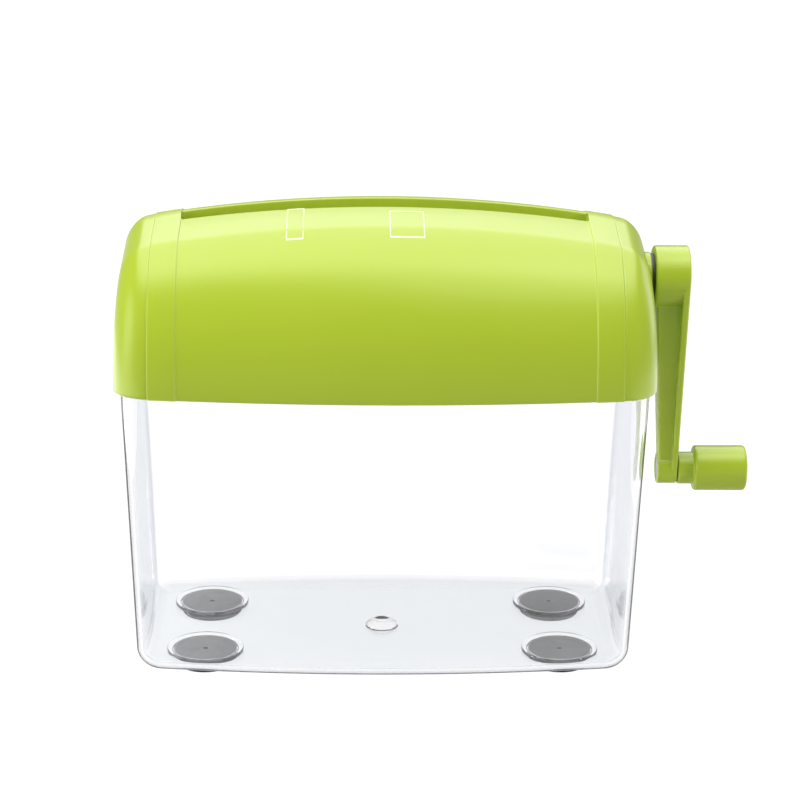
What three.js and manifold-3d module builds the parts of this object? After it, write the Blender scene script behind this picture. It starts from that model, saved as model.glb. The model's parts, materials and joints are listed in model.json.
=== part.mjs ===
// A hand-cranked desk paper shredder: a clear waste bin on four rubber feet, and a domed plastic
// head that lifts off it and holds two meshing cutter rollers, their gears and the crank.
// Millimetres, +Z up, front towards -Y. The crank is on the right, +X.
import * as THREE from "three";
import { mergeVertices } from "three/addons/utils/BufferGeometryUtils.js";
import Module from "manifold-3d";

const wasm = await Module();
wasm.setup();

// ---------------------------------------------------------------- driving dimensions

const GAP = 0.3; // between parts that only rest against each other
const RUNNING_GAP = 0.09; // radial clearance of a shaft in its bore
const FAR = 250; // reaches past the whole part, for cutting tools

const BOW_RADIUS = 620; // plan radius of the bowed front and rear faces
const CREST_RADIUS = 530; // elevation radius of the head's top line

// Heights are measured from 1 mm above the ground, and the whole part is raised by that at the end.
const foot = { x: 68, y: 24, radius: 12, edge: 0.8, bottom: -1, seatRadius: 12.6, seatDepth: 1.2 };
const tapeThickness = 0.4;
const bin = {
  bottom: 2, halfWidth: 93.1, halfDepth: 50.5, cornerRadius: 10, edgeRadius: 8,
  wall: 2.2, draft: 0.0344, stepHeight: 111.4, stepDepth: 0.8, top: 118,
  padRadius: 14.6, gateRadius: 6.4, gateHeight: 2.8, gateRound: 1.6,
};
foot.top = bin.bottom + foot.seatDepth - tapeThickness;

const head = {
  bottom: 112.3, top: 175.2, halfWidth: 99.65, halfDepth: 57, planRadius: 12.5, topRadius: 9,
  wall: 2, leanIn: 4.1, archPower: 2.1,
};
const band = { inner: 76.3, outer: 86.3, rise: 0.4, edge: 0.7 };
const inlet = {
  mouthFront: -5.6, mouthRear: 5, mouthHalfLength: 79, mouthTop: 179.4,
  throatHalfWidth: 2.6, throatHalfLength: 75, throatTop: 164, bottom: 144.2, wall: 1.4,
};
const facet = { front: -23, rear: 4 }; // a flat strip that falls forward from the slot to a soft crease
const chassis = {
  bottom: bin.top + GAP, thickness: 2.2, halfWidth: 96.4, halfDepth: 53.6, cornerRadius: 10,
  openingHalfLength: 76.6, openingHalfWidth: 24,
  skirtBottom: 114, skirtWall: 1.2, skirtGap: 0.4, skirtCorner: 7,
};
chassis.top = chassis.bottom + chassis.thickness;

const TOOTH_MODULE = 1;
const PRESSURE_ANGLE = THREE.MathUtils.degToRad(20);
const teeth = { pinion: 11, drive: 19, sync: 17 };
const pitchRadius = (count) => (TOOTH_MODULE * count) / 2;

const crank = { z: 146, radius: 76.2 };
const roller = {
  y: pitchRadius(teeth.sync), discRadius: 9.8, coreRadius: 6.6, journalRadius: 4,
  halfLength: 77.4, discCount: 13, discPitch: 11.6, discThickness: 5.6,
  hooks: 4, hookDepth: 1.2, twist: 0.28,
};
const driveCentreDistance = pitchRadius(teeth.pinion) + pitchRadius(teeth.drive);
roller.z = crank.z - Math.sqrt(driveCentreDistance ** 2 - roller.y ** 2);

const plate = { inner: 78, thickness: 2.5, halfDepth: 30, top: 154, shoulder: 140, chamfer: 8 };
plate.outer = plate.inner + plate.thickness;
const bush = { radius: 5.8, flangeRadius: 7.4, innerFlangeRadius: 6.8, outerFlangeRadius: 9, flange: 1.2 };
const gearFace = { inner: 83.5, outer: 90 };
const capBoss = { inner: 91.5, outer: 100.2, radius: 9.5 };

const hub = { inner: 101.9, outer: 114.3, radius: 12 };
const boss = { inner: 105.9, outer: 113.4, radius: 6 };
const armPlate = { thicknessTop: 2.6, thicknessBottom: 2.2 };
const armRib = { shareTop: 0.62, shareBottom: 0.66 };
const grip = {
  neckStart: 113.9, neckEnd: 120.1, neckRadius: 6.2, end: 140.3, radius: 8.75, round: 1.5,
};
const gripPin = { radius: 2.5, headRadius: 4, headThickness: 1.6, end: 134.5 };
const shaft = { inner: 77, outer: 110.2, radius: 4, flat: 3 };
const screw = { radius: 1.6, headRadius: 2.4, headHeight: 2, length: 12 };
const crankScrewSize = { radius: 1.35, length: 8, headDepth: 2.6 };
const coverPillar = { x: 65, y: 40, radius: 4 };
const capPillar = { x: 89.8, y: 34, radius: 3.2 };
const comb = { barInner: 10.4, barOuter: 12.9, barHalfHeight: 6.5, fingerGap: 0.5, fingerWidth: 3.2 };
const tieRod = { y: 24, z: 147, radius: 2.6, endRadius: 2 };
const clip = { thickness: 0.9, radius: 5.2, groove: 3.3, mouth: 3.4 };

// The overall box runs from the left cap to the grip, and its middle is the frame's origin.
const MIDDLE_X = (grip.end - head.halfWidth) / 2;

// ---------------------------------------------------------------- materials

const finishes = {
  lime: { color: 0xa9c437, roughness: 0.3, metalness: 0 },
  clear: { color: 0xf3f8f8, roughness: 0.05, metalness: 0, transparent: true, opacity: 0.3 },
  rubber: { color: 0x2b2b2d, roughness: 0.85, metalness: 0 },
  tape: { color: 0x9c9ca1, roughness: 0.8, metalness: 0 },
  black: { color: 0x3a3c3e, roughness: 0.55, metalness: 0 },
  steel: { color: 0xb4b6b8, roughness: 0.35, metalness: 1 },
  zinc: { color: 0xc9c9c4, roughness: 0.4, metalness: 1 },
  nylon: { color: 0xe9e6da, roughness: 0.5, metalness: 0 },
  bronze: { color: 0xa9814a, roughness: 0.45, metalness: 1 },
};

// ---------------------------------------------------------------- solids

function solidOf(geometry) {
  const bare = geometry.index ? geometry.toNonIndexed() : geometry.clone();
  for (const name of Object.keys(bare.attributes)) if (name !== "position") bare.deleteAttribute(name);
  const merged = mergeVertices(bare, 1e-4);
  const triVerts = new Uint32Array(merged.index.array);
  const vertProperties = merged.attributes.position.array;
  const made = new wasm.Manifold(new wasm.Mesh({ numProp: 3, vertProperties, triVerts }));
  if (made.volume() > 0) return made;
  for (let i = 0; i < triVerts.length; i += 3)
    [triVerts[i + 1], triVerts[i + 2]] = [triVerts[i + 2], triVerts[i + 1]];
  return new wasm.Manifold(new wasm.Mesh({ numProp: 3, vertProperties, triVerts }));
}

function geometryOf(solid) {
  const mesh = solid.getMesh();
  const position = new Float32Array(mesh.numVert * 3);
  for (let i = 0; i < mesh.numVert; i++)
    position.set(mesh.vertProperties.subarray(i * mesh.numProp, i * mesh.numProp + 3), i * 3);
  return new THREE.BufferGeometry()
    .setAttribute("position", new THREE.BufferAttribute(position, 3))
    .setIndex(new THREE.BufferAttribute(mesh.triVerts, 1));
}

const join = (...solids) => solids.reduce((all, one) => all.add(one));
const cut = (from, ...tools) => tools.reduce((rest, tool) => rest.subtract(tool), from);

function box(x0, x1, y0, y1, z0, z1) {
  const geometry = new THREE.BoxGeometry(x1 - x0, y1 - y0, z1 - z0);
  return solidOf(geometry.translate((x0 + x1) / 2, (y0 + y1) / 2, (z0 + z1) / 2));
}

function rodZ(radius, x, y, z0, z1, segments = 12) {
  const geometry = new THREE.CylinderGeometry(radius, radius, z1 - z0, segments).rotateX(Math.PI / 2);
  return solidOf(geometry.translate(x, y, (z0 + z1) / 2));
}

function rodX(radius, x0, x1, y = 0, z = 0, segments = 16) {
  const geometry = new THREE.CylinderGeometry(radius, radius, x1 - x0, segments).rotateZ(Math.PI / 2);
  return solidOf(geometry.translate((x0 + x1) / 2, y, z));
}

// Turns an extrusion's own x, y, z into the frame's Y, Z, X.
const ALONG_X = new THREE.Matrix4().makeBasis(
  new THREE.Vector3(0, 1, 0),
  new THREE.Vector3(0, 0, 1),
  new THREE.Vector3(1, 0, 0),
);

// An outline of [y, z] points, with or without a hole, extruded along X.
function prismX(outline, x0, x1, hole = null) {
  const shape = new THREE.Shape(outline.map(([u, v]) => new THREE.Vector2(u, v)));
  if (hole) shape.holes.push(new THREE.Path(hole.map(([u, v]) => new THREE.Vector2(u, v))));
  const geometry = new THREE.ExtrudeGeometry(shape, { depth: x1 - x0, bevelEnabled: false, steps: 1 });
  return solidOf(geometry.applyMatrix4(ALONG_X).translate(x0, 0, 0));
}

// A solid through closed rings of points, one after another, with a fan across each end.
function loft(rings) {
  const count = rings[0].length;
  const position = [];
  const face = (...points) => points.forEach((p) => position.push(p.x, p.y, p.z));
  for (let r = 0; r + 1 < rings.length; r++)
    for (let i = 0; i < count; i++) {
      const j = (i + 1) % count;
      face(rings[r][i], rings[r][j], rings[r + 1][j]);
      face(rings[r][i], rings[r + 1][j], rings[r + 1][i]);
    }
  const middle = (ring) => ring.reduce((s, p) => s.add(p), new THREE.Vector3()).divideScalar(count);
  const first = rings[0], last = rings[rings.length - 1];
  for (let i = 0; i < count; i++) {
    const j = (i + 1) % count;
    face(middle(first), first[j], first[i]);
    face(middle(last), last[i], last[j]);
  }
  const geometry = new THREE.BufferGeometry();
  return solidOf(geometry.setAttribute("position", new THREE.Float32BufferAttribute(position, 3)));
}

// ---------------------------------------------------------------- outlines

// A quarter of the bowed, round-cornered plan: x runs from the middle of the face to the side.
function planQuarter(halfWidth, halfDepth, cornerRadius) {
  const points = [];
  const cornerX = halfWidth - cornerRadius;
  const start = Math.atan(cornerX / BOW_RADIUS);
  const edgeX = cornerX + cornerRadius * Math.sin(start);
  const faceSteps = 3, cornerSteps = 4;
  for (let i = 0; i < faceSteps; i++) {
    const x = (edgeX * i) / faceSteps;
    points.push([x, halfDepth - x ** 2 / (2 * BOW_RADIUS)]);
  }
  const cornerY = halfDepth - edgeX ** 2 / (2 * BOW_RADIUS) - cornerRadius * Math.cos(start);
  for (let i = 0; i <= cornerSteps; i++) {
    const angle = start + ((Math.PI / 2 - start) * i) / cornerSteps;
    points.push([cornerX + cornerRadius * Math.sin(angle), cornerY + cornerRadius * Math.cos(angle)]);
  }
  return points;
}

function planRing(halfWidth, halfDepth, cornerRadius, z) {
  const quarter = planQuarter(halfWidth, halfDepth, cornerRadius);
  const back = [...quarter].reverse();
  const around = [
    ...quarter,
    ...back.slice(0, -1).map(([x, y]) => [x, -y]),
    ...quarter.map(([x, y]) => [-x, -y]),
    ...back.slice(0, -1).map(([x, y]) => [-x, y]),
  ];
  const distinct = around.filter(([x, y], i) => {
    const [px, py] = around[(i + around.length - 1) % around.length];
    return Math.hypot(x - px, y - py) > 1e-6;
  });
  return distinct.map(([x, y]) => new THREE.Vector3(x, y, z));
}

function planBlock(halfWidth, halfDepth, cornerRadius, z0, z1) {
  return loft([z0, z1].map((z) => planRing(halfWidth, halfDepth, cornerRadius, z)));
}

// The head's cross-section at x: an arch from the front edge over to the rear one, with one flat facet.
function archRing(x, halfDepth, top, base) {
  const power = 2 / head.archPower;
  const angleAt = (y) => Math.acos(-Math.sign(y) * Math.abs(y / halfDepth) ** (1 / power));
  const points = [new THREE.Vector3(x, -halfDepth, base)];
  const arc = (start, end, steps) => {
    for (let i = 0; i <= steps; i++) {
      const angle = start + ((end - start) * i) / steps;
      const c = Math.cos(angle), s = Math.abs(Math.sin(angle));
      const y = -halfDepth * Math.sign(c) * Math.abs(c) ** power;
      points.push(new THREE.Vector3(x, y, head.bottom + (top - head.bottom) * s ** power));
    }
  };
  arc(0, angleAt(facet.front), 9);
  arc(angleAt(facet.rear), Math.PI, 11);
  points.push(new THREE.Vector3(x, halfDepth, base));
  return points;
}

// The sides lean in from the bands outwards, and ever more with height.
function leanIn(point, halfWidth) {
  const reach = THREE.MathUtils.clamp((Math.abs(point.x) - band.outer) / (halfWidth - band.outer), 0, 1);
  const height = Math.max(0, point.z - head.bottom) / (head.top - head.bottom);
  point.x -= Math.sign(point.x) * reach * head.leanIn * height ** 2;
  return point;
}

// How far an edge of this radius, at the half-width's end, draws the section in at x.
function roundOff(x, halfWidth, radius) {
  const along = Math.max(0, x - (halfWidth - radius));
  return radius - Math.sqrt(radius ** 2 - along ** 2);
}

// Stations of the head's loft on its right half: x, and how far a band stands out there.
function headStations(halfWidth, planRadius, withBand) {
  const rise = withBand ? band.rise : 0;
  const stations = [0, 25, 51].map((x) => [x, 0]);
  stations.push([band.inner - band.edge, 0], [band.inner, rise]);
  stations.push([band.outer - band.edge / 2, rise], [band.outer, 0]);
  const steps = 5;
  for (let i = 0; i <= steps; i++)
    stations.push([halfWidth - planRadius * (1 - Math.sin((Math.PI / 2) * (i / steps))), 0]);
  return stations;
}

function headBlock(inset, withBand, base = head.bottom) {
  const halfWidth = head.halfWidth - inset;
  const planRadius = head.planRadius - inset;
  const right = headStations(halfWidth, planRadius, withBand);
  const left = right.slice(1).reverse().map(([x, rise]) => [-x, rise]);
  const rings = [...left, ...right].map(([x, rise]) => {
    const out = rise - inset;
    const planInset = roundOff(Math.abs(x), halfWidth, planRadius);
    const topInset = roundOff(Math.abs(x), halfWidth, head.topRadius - inset);
    const halfDepth = head.halfDepth - x ** 2 / (2 * BOW_RADIUS) + out - planInset;
    const top = head.top - x ** 2 / (2 * CREST_RADIUS) + out - topInset;
    return archRing(x, halfDepth, top, base).map((point) => leanIn(point, halfWidth));
  });
  return loft(withDistinctPoints(rings));
}

// Drops the first and last ring point where the base is the arch's own foot, so none is doubled.
function withDistinctPoints(rings) {
  const doubled = rings[0][0].distanceTo(rings[0][1]) < 1e-6;
  return doubled ? rings.map((ring) => ring.slice(1, -1)) : rings;
}

// ---------------------------------------------------------------- gears

// One involute gear's outline about its own axis, with a little backlash, turned by `phase`.
function gearOutline(count, phase) {
  const pitch = pitchRadius(count);
  const base = pitch * Math.cos(PRESSURE_ANGLE);
  const tip = pitch + 0.85 * TOOTH_MODULE;
  const root = pitch - 1.2 * TOOTH_MODULE;
  const backlash = 0.09;
  const involute = (r) => {
    const a = Math.acos(Math.min(1, base / r));
    return Math.tan(a) - a;
  };
  const halfTooth = (Math.PI * TOOTH_MODULE) / 4 - backlash;
  const halfAngle = (r) => halfTooth / pitch + involute(pitch) - involute(Math.max(r, base));
  const radii = [root, pitch, tip];
  const points = [];
  for (let tooth = 0; tooth < count; tooth++) {
    const centre = phase + (2 * Math.PI * tooth) / count;
    for (const r of radii) points.push([r, centre - halfAngle(r)]);
    for (const r of [...radii].reverse()) points.push([r, centre + halfAngle(r)]);
  }
  return points.map(([r, angle]) => [r * Math.cos(angle), r * Math.sin(angle)]);
}

// A round outline with one flat, as on a D-shaped shaft end.
function flattedOutline(radius, flat, segments = 16) {
  const points = [];
  const start = Math.acos(flat / radius);
  for (let i = 0; i <= segments; i++) {
    const angle = start + ((2 * Math.PI - 2 * start) * i) / segments;
    points.push([radius * Math.cos(angle), radius * Math.sin(angle)]);
  }
  return points;
}

function gear(count, x0, x1, phase) {
  const bore = flattedOutline(shaft.radius + RUNNING_GAP, shaft.flat + RUNNING_GAP);
  return prismX(gearOutline(count, phase), x0, x1, bore);
}

// ---------------------------------------------------------------- bin and feet

function binHollow(wall, floor) {
  const radius = bin.edgeRadius - wall;
  const start = bin.bottom + floor;
  const rings = [];
  const steps = 4;
  for (let i = 0; i <= steps; i++) {
    const angle = (Math.PI / 2) * (i / steps);
    const inset = wall + radius * (1 - Math.sin(angle));
    rings.push([start + radius * (1 - Math.cos(angle)), inset]);
  }
  if (wall === 0)
    rings.push([bin.stepHeight, 0], [bin.stepHeight + 0.4, bin.stepDepth], [bin.top, bin.stepDepth]);
  else rings.push([bin.stepHeight, wall + bin.stepDepth / 2], [bin.top + 1, wall + bin.stepDepth]);
  return loft(rings.map(([z, inset]) => {
    const grow = bin.draft * (z - bin.bottom) - inset;
    const corner = Math.max(1.5, bin.cornerRadius - Math.min(inset, bin.cornerRadius));
    return planRing(bin.halfWidth + grow, bin.halfDepth + grow, corner, z);
  }));
}

const footPlaces = [
  ["front_left", -foot.x, -foot.y], ["front_right", foot.x, -foot.y],
  ["rear_left", -foot.x, foot.y], ["rear_right", foot.x, foot.y],
];

function wasteBin() {
  const floorTop = bin.bottom + bin.wall;
  let made = cut(binHollow(0, 0), binHollow(bin.wall, bin.wall));
  for (const [, x, y] of footPlaces) {
    made = made.add(rodZ(bin.padRadius, x, y, floorTop - 0.5, floorTop + foot.seatDepth, 24));
    made = made.subtract(rodZ(foot.seatRadius, x, y, bin.bottom - 1, bin.bottom + foot.seatDepth, 24));
  }
  const gateTop = floorTop + bin.gateHeight;
  const gate = [
    [0, floorTop - 0.5], [bin.gateRadius, floorTop - 0.5], [bin.gateRadius, gateTop - bin.gateRound],
    [bin.gateRadius - 0.3 * bin.gateRound, gateTop - 0.3 * bin.gateRound],
    [bin.gateRadius - bin.gateRound, gateTop], [0, gateTop],
  ].map(([radius, z]) => new THREE.Vector2(radius, z));
  return made.add(solidOf(new THREE.LatheGeometry(gate, 24).rotateX(Math.PI / 2)));
}

function rubberFoot() {
  const profile = [
    [0, foot.bottom], [foot.radius - foot.edge, foot.bottom], [foot.radius, foot.bottom + foot.edge],
    [foot.radius, foot.top], [0, foot.top],
  ].map(([r, z]) => new THREE.Vector2(r, z));
  return solidOf(new THREE.LatheGeometry(profile, 24).rotateX(Math.PI / 2));
}

// ---------------------------------------------------------------- head shells

// The paper's way in: a wide mouth at the crest that narrows to an upright throat.
function inletBlock(wall) {
  const ring = (halfLength, front, rear, z) => {
    const x = halfLength + wall;
    const corners = [[x, rear + wall], [-x, rear + wall], [-x, front - wall], [x, front - wall]];
    return corners.map(([px, py]) => new THREE.Vector3(px, py, z));
  };
  const throat = inlet.throatHalfWidth;
  const end = wall > 0 ? inlet.bottom : inlet.bottom - 1;
  return loft([
    ring(inlet.throatHalfLength, -throat, throat, end),
    ring(inlet.throatHalfLength, -throat, throat, inlet.throatTop),
    ring(inlet.mouthHalfLength, inlet.mouthFront, inlet.mouthRear, inlet.mouthTop),
  ]);
}

// A screw pillar that stands on the chassis and runs up into the shell.
function pillar(place, sideX, sideY, outer) {
  const x = sideX * place.x, y = sideY * place.y;
  const z0 = chassis.top + GAP;
  const core = rodZ(place.radius, x, y, z0, head.top, 16).intersect(outer);
  return core.subtract(rodZ(screw.radius + RUNNING_GAP, x, y, z0 - 1, z0 + screw.length, 12));
}

const headOuter = headBlock(0, true);
const headInner = headBlock(head.wall, false, head.bottom - 2);
const corners = [[-1, -1], [1, -1], [-1, 1], [1, 1]];

function upperCover() {
  const span = box(-band.outer, band.outer, -FAR, FAR, -FAR, FAR);
  let made = cut(headOuter.intersect(span), headInner);
  for (const [sx, sy] of corners) made = made.add(pillar(coverPillar, sx, sy, headOuter));
  return made.add(inletBlock(inlet.wall).intersect(headOuter)).subtract(inletBlock(0));
}

function endCap(side) {
  const seam = band.outer + 0.1;
  const [x0, x1] = side > 0 ? [seam, FAR] : [-FAR, -seam];
  let made = cut(headOuter.intersect(box(x0, x1, -FAR, FAR, -FAR, FAR)), headInner);
  for (const sy of [-1, 1]) made = made.add(pillar(capPillar, side, sy, headOuter));
  if (side < 0) return made;
  const seat = rodX(capBoss.radius, capBoss.inner, capBoss.outer, 0, crank.z, 24);
  return made.add(seat).subtract(rodX(bush.radius + RUNNING_GAP, capBoss.inner - 1, FAR, 0, crank.z));
}

// ---------------------------------------------------------------- chassis and cutter frame

function lowerChassis() {
  const c = chassis;
  const rimWidth = bin.halfWidth + bin.draft * (bin.top - bin.bottom) - bin.stepDepth - bin.wall - c.skirtGap;
  const rimDepth = rimWidth - bin.halfWidth + bin.halfDepth;
  const skirt = cut(
    planBlock(rimWidth, rimDepth, c.skirtCorner, c.skirtBottom, c.bottom + 0.5),
    planBlock(rimWidth - c.skirtWall, rimDepth - c.skirtWall, c.skirtCorner - c.skirtWall,
      c.skirtBottom - 1, c.bottom),
  );
  let made = planBlock(c.halfWidth, c.halfDepth, c.cornerRadius, c.bottom, c.top).add(skirt);
  made = made.subtract(box(-c.openingHalfLength, c.openingHalfLength,
    -c.openingHalfWidth, c.openingHalfWidth, c.bottom - 1, c.top + 1));
  const hole = screw.radius + 0.2;
  for (const place of [coverPillar, capPillar])
    for (const [sx, sy] of corners)
      made = made.subtract(rodZ(hole, sx * place.x, sy * place.y, c.bottom - 1, c.top + 1, 12));
  return made;
}

function bearingPlate(side) {
  const [x0, x1] = side > 0 ? [plate.inner, plate.outer] : [-plate.outer, -plate.inner];
  const p = plate;
  const foot0 = chassis.top + 0.02;
  const outline = [
    [-p.halfDepth, foot0], [p.halfDepth, foot0], [p.halfDepth, p.shoulder], [p.halfDepth - p.chamfer, p.top],
    [-p.halfDepth + p.chamfer, p.top], [-p.halfDepth, p.shoulder],
  ];
  let made = prismX(outline, x0, x1);
  const seat = bush.radius + RUNNING_GAP;
  for (const y of [-roller.y, roller.y]) made = made.subtract(rodX(seat, x0 - 1, x1 + 1, y, roller.z));
  for (const y of [-tieRod.y, tieRod.y])
    made = made.subtract(rodX(tieRod.endRadius + RUNNING_GAP, x0 - 1, x1 + 1, y, tieRod.z, 12));
  if (side > 0) made = made.subtract(rodX(seat, x0 - 1, x1 + 1, 0, crank.z));
  return made;
}

// A flanged bush from x0 to x1, with its flange beyond the end that `outward` points to.
function flangedBush(x0, x1, outward, flangeRadius = bush.flangeRadius) {
  const flange = outward > 0 ? [x1, x1 + bush.flange] : [x0 - bush.flange, x0];
  const made = join(rodX(bush.radius, x0, x1), rodX(flangeRadius, ...flange));
  return made.subtract(rodX(shaft.radius + RUNNING_GAP, x0 - 3, x1 + 3));
}

const plateBush = (side) => side > 0
  ? flangedBush(plate.inner, plate.outer, side)
  : flangedBush(-plate.outer, -plate.inner, side);

// A rod with shouldered ends that stick out through both bearing plates.
const tieRodSolid = () => join(
  rodX(tieRod.radius, -plate.inner + 0.05, plate.inner - 0.05),
  rodX(tieRod.endRadius, -plate.outer - 0.8, plate.outer + 0.8, 0, 0, 12),
);

// A comb whose fingers reach into the grooves of one roller and free the paper from it. The roller's
// axis is the origin's own.
function stripperComb(side) {
  const c = comb;
  const arcInner = roller.coreRadius + c.fingerGap;
  const tips = Math.PI / 3;
  const outline = [];
  const steps = 4;
  for (let i = 0; i <= steps; i++) {
    const angle = -tips + (2 * tips * i) / steps;
    outline.push([side * arcInner * Math.cos(angle), arcInner * Math.sin(angle)]);
  }
  outline.push([side * (c.barInner + 0.5), c.barHalfHeight], [side * (c.barInner + 0.5), -c.barHalfHeight]);
  const [y0, y1] = side > 0 ? [c.barInner, c.barOuter] : [-c.barOuter, -c.barInner];
  const reach = plate.inner - 0.1;
  let made = box(-reach, reach, y0, y1, -c.barHalfHeight, c.barHalfHeight);
  for (let i = 0; i + 1 < roller.discCount; i++) {
    const x = discX(i, side) + roller.discPitch / 2;
    made = made.add(prismX(outline, x - c.fingerWidth / 2, x + c.fingerWidth / 2));
  }
  return made;
}

// ---------------------------------------------------------------- cutters and gear train

// Disc i's middle on the front (-1) or rear (+1) roller: the rear one's sit in the front one's grooves.
function discX(i, side) {
  const first = (-(roller.discCount - 1) * roller.discPitch) / 2;
  return first + i * roller.discPitch + (side * roller.discPitch) / 4;
}

// A cutting disc's outline: hooks with a steep leading edge, which bite as the paper goes down.
function discOutline(phase, direction) {
  const points = [];
  for (let hook = 0; hook < roller.hooks; hook++) {
    const step = (2 * Math.PI) / roller.hooks;
    const at = (share, r) => {
      const angle = direction * (phase + step * (hook + share));
      return [r * Math.cos(angle), r * Math.sin(angle)];
    };
    points.push(at(0, roller.discRadius), at(0.06, roller.discRadius - roller.hookDepth));
    points.push(at(0.5, roller.discRadius));
  }
  return points;
}

function cutterRoller(side) {
  const r = roller;
  let made = rodX(r.coreRadius, -r.halfLength, r.halfLength, 0, 0, 12);
  for (let i = 0; i < r.discCount; i++) {
    const x = discX(i, side);
    const disc = discOutline(i * r.twist, -side);
    made = made.add(prismX(disc, x - r.discThickness / 2, x + r.discThickness / 2));
  }
  const journalEnd = plate.outer + bush.flange + 0.4;
  const geared = gearFace.outer + clip.thickness + 1.4;
  const plain = plate.outer + bush.flange + clip.thickness + 1.4;
  const flatted = (x0, x1) => prismX(flattedOutline(shaft.radius, shaft.flat), x0, x1);
  made = made.add(rodX(r.journalRadius, -journalEnd, journalEnd)).add(flatted(-geared, -journalEnd));
  if (side > 0) made = made.add(flatted(journalEnd, geared));
  else made = made.add(rodX(r.journalRadius, journalEnd, plain));
  for (const x of clipPlaces(side))
    made = made.subtract(cut(
      rodX(r.journalRadius + 1, x - 0.05, x + clip.thickness + 0.05),
      rodX(clip.groove - 0.1, x - 1, x + 2),
    ));
  return made;
}

// Where the retaining clips sit on a roller's left and right end: each clip's lower x.
function clipPlaces(side) {
  const gap = 0.15;
  const left = -gearFace.outer - gap - clip.thickness;
  return [left, side > 0 ? gearFace.outer + gap : plate.outer + bush.flange + gap];
}

// A retaining ring, open at one side, in its shaft groove.
function retainingClip() {
  const ring = rodX(clip.radius, 0, clip.thickness);
  const opening = box(-1, 2, -clip.mouth / 2, clip.mouth / 2, 0, 10);
  return cut(ring, rodX(clip.groove, -1, 2), opening);
}

// Round in its inner bush, then with a flat for the pinion and the crank.
function crankShaft() {
  const flatted = prismX(flattedOutline(shaft.radius, shaft.flat), gearFace.inner, shaft.outer);
  const made = join(rodX(shaft.radius, shaft.inner, gearFace.inner), flatted);
  const hole = crankScrewSize.radius + RUNNING_GAP;
  return made.subtract(rodX(hole, shaft.outer - 10, shaft.outer + 1, 0, 0, 12));
}

// ---------------------------------------------------------------- crank

// The outline of a link that hangs from the crank's axis: two round ends joined by straight tangents.
function linkOutline(topRadius, bottomRadius) {
  const lean = Math.asin((topRadius - bottomRadius) / crank.radius);
  const points = [];
  const steps = 10;
  const arc = (radius, z, from, to) => {
    for (let i = 0; i <= steps; i++) {
      const angle = from + ((to - from) * i) / steps;
      points.push([radius * Math.cos(angle), z + radius * Math.sin(angle)]);
    }
  };
  arc(topRadius, 0, -lean, Math.PI + lean);
  arc(bottomRadius, -crank.radius, Math.PI + lean, 2 * Math.PI - lean);
  return points;
}

// A block with one sloping face, at x = topX by the hub and x = bottomX by the boss.
function slopedBlock(topX, bottomX, keepOutside) {
  const far = keepOutside ? 160 : 60;
  const reach = crank.radius * 1.5;
  const slope = (topX - bottomX) / crank.radius;
  const ring = (y) => [
    [topX + slope * reach, reach], [far, reach], [far, -reach], [topX - slope * reach, -reach],
  ].map(([x, z]) => new THREE.Vector3(x, y, z));
  return loft([ring(-40), ring(40)]);
}

function crankArm() {
  const outerFace = slopedBlock(hub.outer, boss.outer, false);
  const inner = { top: hub.outer - armPlate.thicknessTop, bottom: boss.outer - armPlate.thicknessBottom };
  const plateInner = slopedBlock(inner.top, inner.bottom, true);
  const ribInner = slopedBlock(hub.inner, boss.inner, true);
  const link = (topRadius, bottomRadius) =>
    prismX(linkOutline(topRadius, bottomRadius), 90, 130).intersect(outerFace);
  const made = join(
    link(hub.radius, boss.radius).intersect(plateInner),
    link(hub.radius * armRib.shareTop, boss.radius * armRib.shareBottom).intersect(ribInner),
    rodX(hub.radius, hub.inner, hub.outer, 0, 0, 28),
    rodX(boss.radius, boss.inner, boss.outer, 0, -crank.radius, 20),
  );
  const bore = flattedOutline(shaft.radius + RUNNING_GAP, shaft.flat + RUNNING_GAP);
  const headSeat = hub.outer - crankScrewSize.headDepth;
  return cut(
    made,
    prismX(bore, hub.inner - 1, shaft.outer + 0.2),
    rodX(crankScrewSize.radius + 0.3, shaft.outer - 1, hub.outer + 1),
    rodX(screw.headRadius + 0.6, headSeat, hub.outer + 1),
    rodX(gripPin.radius + RUNNING_GAP, boss.inner - 1, boss.outer + 1, 0, -crank.radius),
    rodX(gripPin.headRadius + 0.2, boss.inner - 1, boss.inner + gripPin.headThickness, 0, -crank.radius),
  );
}

// A pan-head screw with a cross recess, its shank pointing down from the origin.
function panScrew(length, radius) {
  const recess = { depth: 0.9, halfLength: 1.5, halfWidth: 0.3 };
  const arm = (a, b) => box(-a, a, -b, b, screw.headHeight - recess.depth, screw.headHeight + 1);
  const headShape = [
    [0, 0], [screw.headRadius, 0], [screw.headRadius, screw.headHeight * 0.55],
    [screw.headRadius * 0.72, screw.headHeight], [0, screw.headHeight],
  ].map(([r, z]) => new THREE.Vector2(r, z));
  const screwHead = solidOf(new THREE.LatheGeometry(headShape, 12).rotateX(Math.PI / 2));
  return cut(
    join(screwHead, rodZ(radius, 0, 0, -length, 0.2, 8)),
    join(arm(recess.halfLength, recess.halfWidth), arm(recess.halfWidth, recess.halfLength)),
  );
}

// A solid of revolution about X, from [radius, x] points.
function turned(points, segments) {
  const profile = points.map(([r, x]) => new THREE.Vector2(r, x));
  return solidOf(new THREE.LatheGeometry(profile, segments).rotateZ(-Math.PI / 2));
}

function crankGrip() {
  const g = grip;
  const bore = gripPin.radius + RUNNING_GAP;
  return turned([
    [bore, g.neckStart], [g.neckRadius - 0.4, g.neckStart], [g.neckRadius, g.neckStart + 0.4],
    [g.neckRadius, g.neckEnd], [g.radius - 0.8, g.neckEnd], [g.radius, g.neckEnd + 0.8],
    [g.radius, g.end - g.round], [g.radius - g.round * 0.3, g.end - g.round * 0.3],
    [g.radius - g.round, g.end], [0, g.end], [0, gripPin.end + GAP], [bore, gripPin.end + GAP],
    [bore, g.neckStart],
  ], 24);
}

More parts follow.
